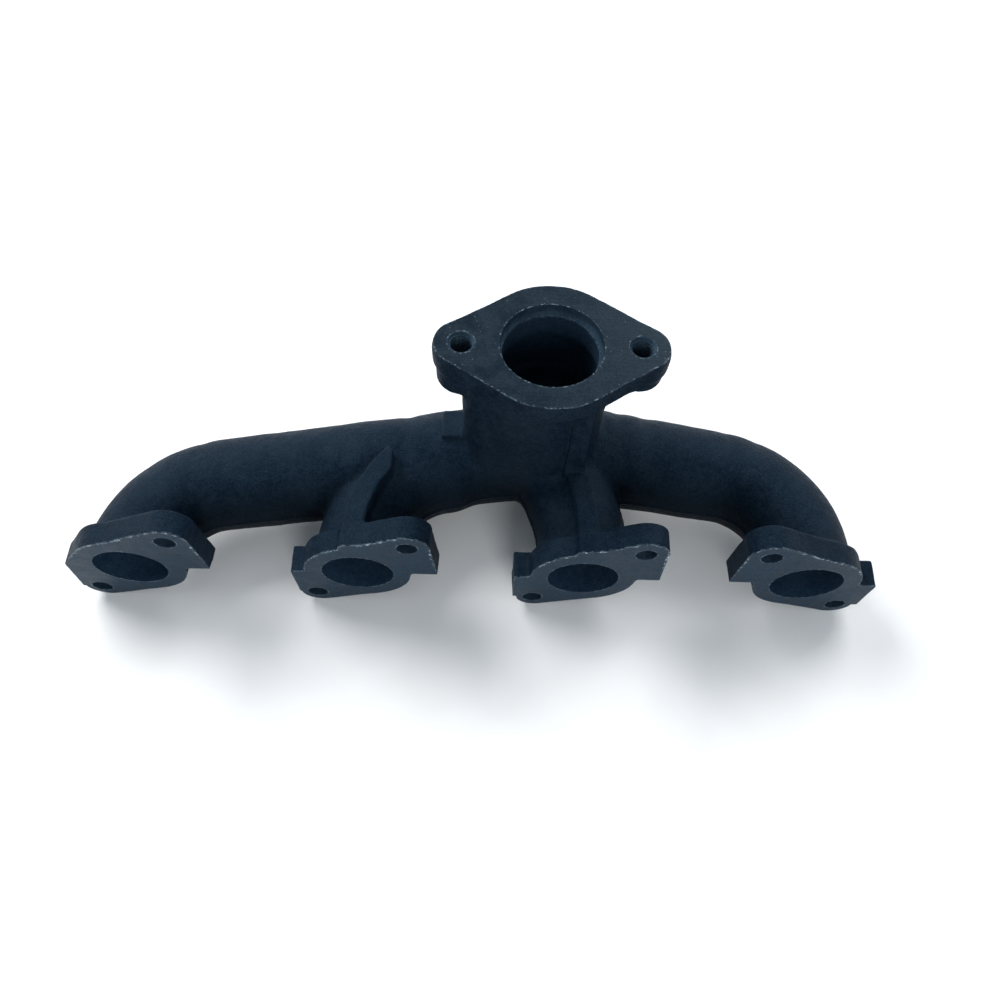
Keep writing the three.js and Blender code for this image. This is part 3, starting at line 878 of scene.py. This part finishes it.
def place_vertices(where, inside, owner):
    """One vertex in each mixed cell, pulled onto every surface that crosses the cell."""
    values = np.stack([corner_values(f, where) for f in FIELDS], axis=2)
    solid = values.max(axis=2)
    metal = corner_values(inside, where)
    owners = corner_values(owner, where)
    total = np.zeros((len(where), 3))
    count = np.zeros(len(where))
    active = np.zeros((len(where), len(FIELDS)), bool)
    for a, b in EDGES:
        crossing = owners[:, a] != owners[:, b]
        shell = metal[:, a] != metal[:, b]
        va, vb = solid[:, a], solid[:, b]
        t = np.where(shell, np.clip(va / np.where(shell, va - vb, 1), 0, 1), 0.5)
        spot = CORNERS[a] + t[:, None] * (CORNERS[b] - CORNERS[a])
        weight = np.where(shell, 1.0, SEAM_WEIGHT) * crossing
        total += spot * weight[:, None]
        count += weight
        label = (values[:, a] * (1 - t[:, None]) + values[:, b] * t[:, None]).argmax(axis=1)
        rows = np.nonzero(shell)[0]
        active[rows, label[rows]] = True
    ranked = np.sort(np.where(owners < 0, len(REGIONS), owners), axis=1)
    first = ranked[:, 0]
    second = np.where(ranked > first[:, None], ranked, len(REGIONS)).min(axis=1)
    third = np.where(ranked > second[:, None], ranked, len(REGIONS)).min(axis=1)
    seam = second < len(REGIONS)
    corner = third < len(REGIONS)
    middle = where + total / count[:, None]
    p = middle.copy()
    for _turn in range(PULL_TURNS):
        for number, name in enumerate(REGIONS):
            rows = np.nonzero((seam & (first == number)) | (corner & (second == number)))[0]
            if len(rows):
                p[rows] -= region_pull(name, p[rows])
        for label in range(len(FIELDS)):
            rows = np.nonzero(active[:, label])[0]
            if len(rows):
                p[rows] -= pull(sample(FIELDS[label], p[rows]), sample(SLOPES[label], p[rows]))
        p = np.clip(p, middle - LONGEST_PULL, middle + LONGEST_PULL)
    return p


def find_quads(owner, index):
    """Every quad between two owners, turned to face away from the first of them."""
    quads, fronts, backs = [], [], []
    for axis_no in range(3):
        u, v = (axis_no + 1) % 3, (axis_no + 2) % 3
        a = np.moveaxis(owner, axis_no, 0)
        spots = np.argwhere(np.moveaxis(a[:-1] != a[1:], 0, axis_no))
        spots = spots[(spots[:, u] > 0) & (spots[:, v] > 0)]
        spots = spots[(spots[:, u] < index.shape[u]) & (spots[:, v] < index.shape[v])]
        ring = []
        for du, dv in ((-1, -1), (0, -1), (0, 0), (-1, 0)):
            cell = spots.copy()
            cell[:, u] += du
            cell[:, v] += dv
            ring.append(index[cell[:, 0], cell[:, 1], cell[:, 2]])
        beyond = spots.copy()
        beyond[:, axis_no] += 1
        quads.append(np.stack(ring, axis=1))
        fronts.append(owner[spots[:, 0], spots[:, 1], spots[:, 2]])
        backs.append(owner[beyond[:, 0], beyond[:, 1], beyond[:, 2]])
    return np.concatenate(quads), np.concatenate(fronts), np.concatenate(backs)


def face_labels(centres, bare):
    labels = np.full(len(centres), CUT)
    values = np.stack([sample(f, centres[bare]) for f in FIELDS], axis=1)
    labels[bare] = values.argmax(axis=1)
    return labels


def corner_normals(p, faces, labels):
    """Normals read off the fields, so that shading runs on unbroken from piece to piece."""
    across = np.cross(p[faces[:, 2]] - p[faces[:, 0]], p[faces[:, 3]] - p[faces[:, 1]])
    normals = np.repeat(across[:, None, :], 4, axis=1)
    for label in range(len(FIELDS)):
        rows = np.nonzero(labels == label)[0]
        if len(rows):
            normals[rows] = sample(SLOPES[label], p[faces[rows]].reshape(-1, 3)).reshape(-1, 4, 3)
    return normals / (np.linalg.norm(normals, axis=2, keepdims=True) + 1e-12)


def add_piece(name, p, wear, faces, bare):
    used, faces = np.unique(faces, return_inverse=True)
    faces = faces.reshape(-1, 4)
    p = p[used]
    labels = face_labels(p[faces].mean(axis=1), bare)
    world = np.clip(to_world(GRID_START + p * VOXEL), WORLD_LOW, WORLD_HIGH)
    mesh = bpy.data.meshes.new(name)
    mesh.from_pydata(world.tolist(), [], faces.tolist())
    for label, material in enumerate(MATERIALS):
        # the outlet flange's machined face takes the darker copy of the finish: painted shade
        shaded_top_face = label == MACHINED and name == "cast_outlet_flange"
        mesh.materials.append(SHADED_OUTLET_FACE if shaded_top_face else material)
    mesh.polygons.foreach_set("material_index", np.minimum(labels, DRILLED).astype(np.int32))
    mesh.polygons.foreach_set("use_smooth", np.ones(len(faces), bool))
    for attribute, values in wear.items():
        layer = mesh.attributes.new(attribute, "FLOAT", "POINT")
        layer.data.foreach_set("value", values[used].astype(np.float32))
    mesh.normals_split_custom_set(corner_normals(p, faces, labels).reshape(-1, 3).tolist())
    mesh.update()
    piece = bpy.data.objects.new(name, mesh)
    bpy.context.scene.collection.objects.link(piece)
    return piece


def build_casting():
    inside = np.maximum.reduce(FIELDS) < 0
    owner = find_owners(inside)
    inside = owner != OUTSIDE
    cells = [n - 1 for n in owner.shape]
    mixed = np.zeros(cells, bool)
    base = owner[:-1, :-1, :-1]
    for i, j, k in CORNERS[1:]:
        mixed |= owner[i:i + cells[0], j:j + cells[1], k:k + cells[2]] != base
    where = np.argwhere(mixed)
    index = np.full(cells, -1, np.int64)
    index[mixed] = np.arange(len(where))
    p = place_vertices(where, inside, owner)
    ranked = np.sort(np.stack([sample(f, p) for f in FIELDS], axis=1), axis=1)
    wear = {"edge_mm": -ranked[:, -2], "rim_mm": -sample(skin, p)}
    quads, fronts, backs = find_quads(owner, index)
    for number, name in enumerate(REGIONS):
        ahead, behind = fronts == number, backs == number
        faces = np.concatenate([quads[ahead], quads[behind][:, ::-1]])
        other = np.concatenate([backs[ahead], fronts[behind]])
        piece = add_piece("cast_" + name, p, wear, faces, other == OUTSIDE)
        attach(piece, "root")
        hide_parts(name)


build_casting()


# ------------------------------------------------------------------ threads
THREAD_MINOR_R = 4.25
THREAD_TURN = 72                            # points round the hole
THREAD_RING = 10                            # rows of points to one pitch
THREAD_ROWS = int(STUD_DEPTH / THREAD_PITCH * THREAD_RING)
CREST = 0.12                                # flat share at the thread's crest
FLANK = 2.5
SLEEVE = 0.1                                # the sleeve reaches this far into the metal


def thread_radius(angle, z):
    """Inner radius of a right-hand tapped thread, opening into the countersink at the top."""
    phase = (z / THREAD_PITCH - angle / (2 * math.pi)) % 1.0
    ridge = np.clip(np.abs(phase - 0.5) * FLANK - CREST, 0, 1)
    radius = STUD_R - (STUD_R - THREAD_MINOR_R) * ridge
    return np.maximum(radius, COUNTERSINK_R - 0.05 - (OUTLET_Z - z))


def thread_points(stud_x):
    """Points of the thread itself, and then those of the plain wall outside it."""
    z = np.linspace(OUTLET_Z - STUD_DEPTH + 0.05, OUTLET_Z - 0.02, THREAD_ROWS + 1)[:, None]
    angle = np.linspace(0, 2 * math.pi, THREAD_TURN, endpoint=False)[None, :]
    wall = np.full((THREAD_ROWS + 1, THREAD_TURN), COUNTERSINK_R + SLEEVE)
    rings = []
    for radius in (thread_radius(angle, z), wall):
        x = stud_x + radius * np.cos(angle)
        y = OUTLET_Y + radius * np.sin(angle)
        rings.append(np.stack([x, y, z + 0 * x], axis=-1).reshape(-1, 3))
    return rings


def thread_faces():
    """Quads of the inner and outer walls, and the rings that close their two ends."""
    row, col = np.meshgrid(np.arange(THREAD_ROWS), np.arange(THREAD_TURN), indexing="ij")
    near = (row * THREAD_TURN + col).ravel()
    beyond = (row * THREAD_TURN + (col + 1) % THREAD_TURN).ravel()
    inner = np.stack([near, near + THREAD_TURN, beyond + THREAD_TURN, beyond], axis=1)
    to_wall = (THREAD_ROWS + 1) * THREAD_TURN
    outer = inner[:, ::-1] + to_wall
    first = np.arange(THREAD_TURN)
    after = (first + 1) % THREAD_TURN
    top, after_top = first + THREAD_ROWS * THREAD_TURN, after + THREAD_ROWS * THREAD_TURN
    upper_end = np.stack([top, top + to_wall, after_top + to_wall, after_top], axis=1)
    lower_end = np.stack([first, after, after + to_wall, first + to_wall], axis=1)
    return np.concatenate([inner, outer, upper_end, lower_end]).tolist()


def add_thread(name, stud_x):
    """A sleeve that lines one tapped hole: the thread inside, a plain wall outside."""
    thread, wall = thread_points(stud_x)
    faces = thread_faces()
    mesh = bpy.data.meshes.new(name)
    mesh.from_pydata(to_world(np.concatenate([thread, wall])).tolist(), [], faces)
    mesh.materials.append(MATERIALS[DRILLED])
    mesh.polygons.foreach_set("use_smooth", np.ones(len(faces), bool))
    crest = np.hypot(thread[:, 0] - stud_x, thread[:, 1] - OUTLET_Y) - THREAD_MINOR_R
    edge = mesh.attributes.new("edge_mm", "FLOAT", "POINT")
    edge.data.foreach_set("value", np.concatenate([crest, crest]).astype(np.float32))
    mesh.update()
    piece = bpy.data.objects.new(name, mesh)
    bpy.context.scene.collection.objects.link(piece)
    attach(piece, "root")


add_thread("thread_left", STUD_X[0])
add_thread("thread_right", STUD_X[1])


# ------------------------------------------------------------------ floor, light and world
def add_floor():
    mesh = bpy.data.meshes.new("floor")
    size, z = 3.0, cad_low.z
    mesh.from_pydata([(-size, -size, z), (size, -size, z), (size, size, z), (-size, size, z)],
                     [], [(0, 1, 2, 3)])
    mesh.materials.append(plain_floor())
    floor = bpy.data.objects.new("floor", mesh)
    bpy.context.scene.collection.objects.link(floor)


AIM = Vector((0, 0, 0.05))                  # metres; every lamp points here


def add_light(name, place, size, power):
    data = bpy.data.lights.new(name, "AREA")
    data.shape = "DISK"
    data.size = size
    data.energy = power
    light = bpy.data.objects.new(name, data)
    light.location = place
    light.rotation_mode = "QUATERNION"
    light.rotation_quaternion = (AIM - Vector(place)).to_track_quat("-Z", "Y")
    bpy.context.scene.collection.objects.link(light)


def add_world():
    world = bpy.data.worlds.new("world")
    world.use_nodes = True
    background = world.node_tree.nodes["Background"]
    background.inputs["Color"].default_value = (0.82, 0.92, 1, 1)
    background.inputs["Strength"].default_value = 0.42
    bpy.context.scene.world = world


add_floor()
add_light("back_left", (-0.7, 0.55, 0.8), size=0.8, power=15.0)
add_light("back_right", (0.6, 0.8, 0.8), size=0.8, power=9.5)
add_light("front", (0.2, -1.0, 0.6), size=0.5, power=4.4)
add_world()
bpy.context.scene.view_settings.view_transform = "Standard"
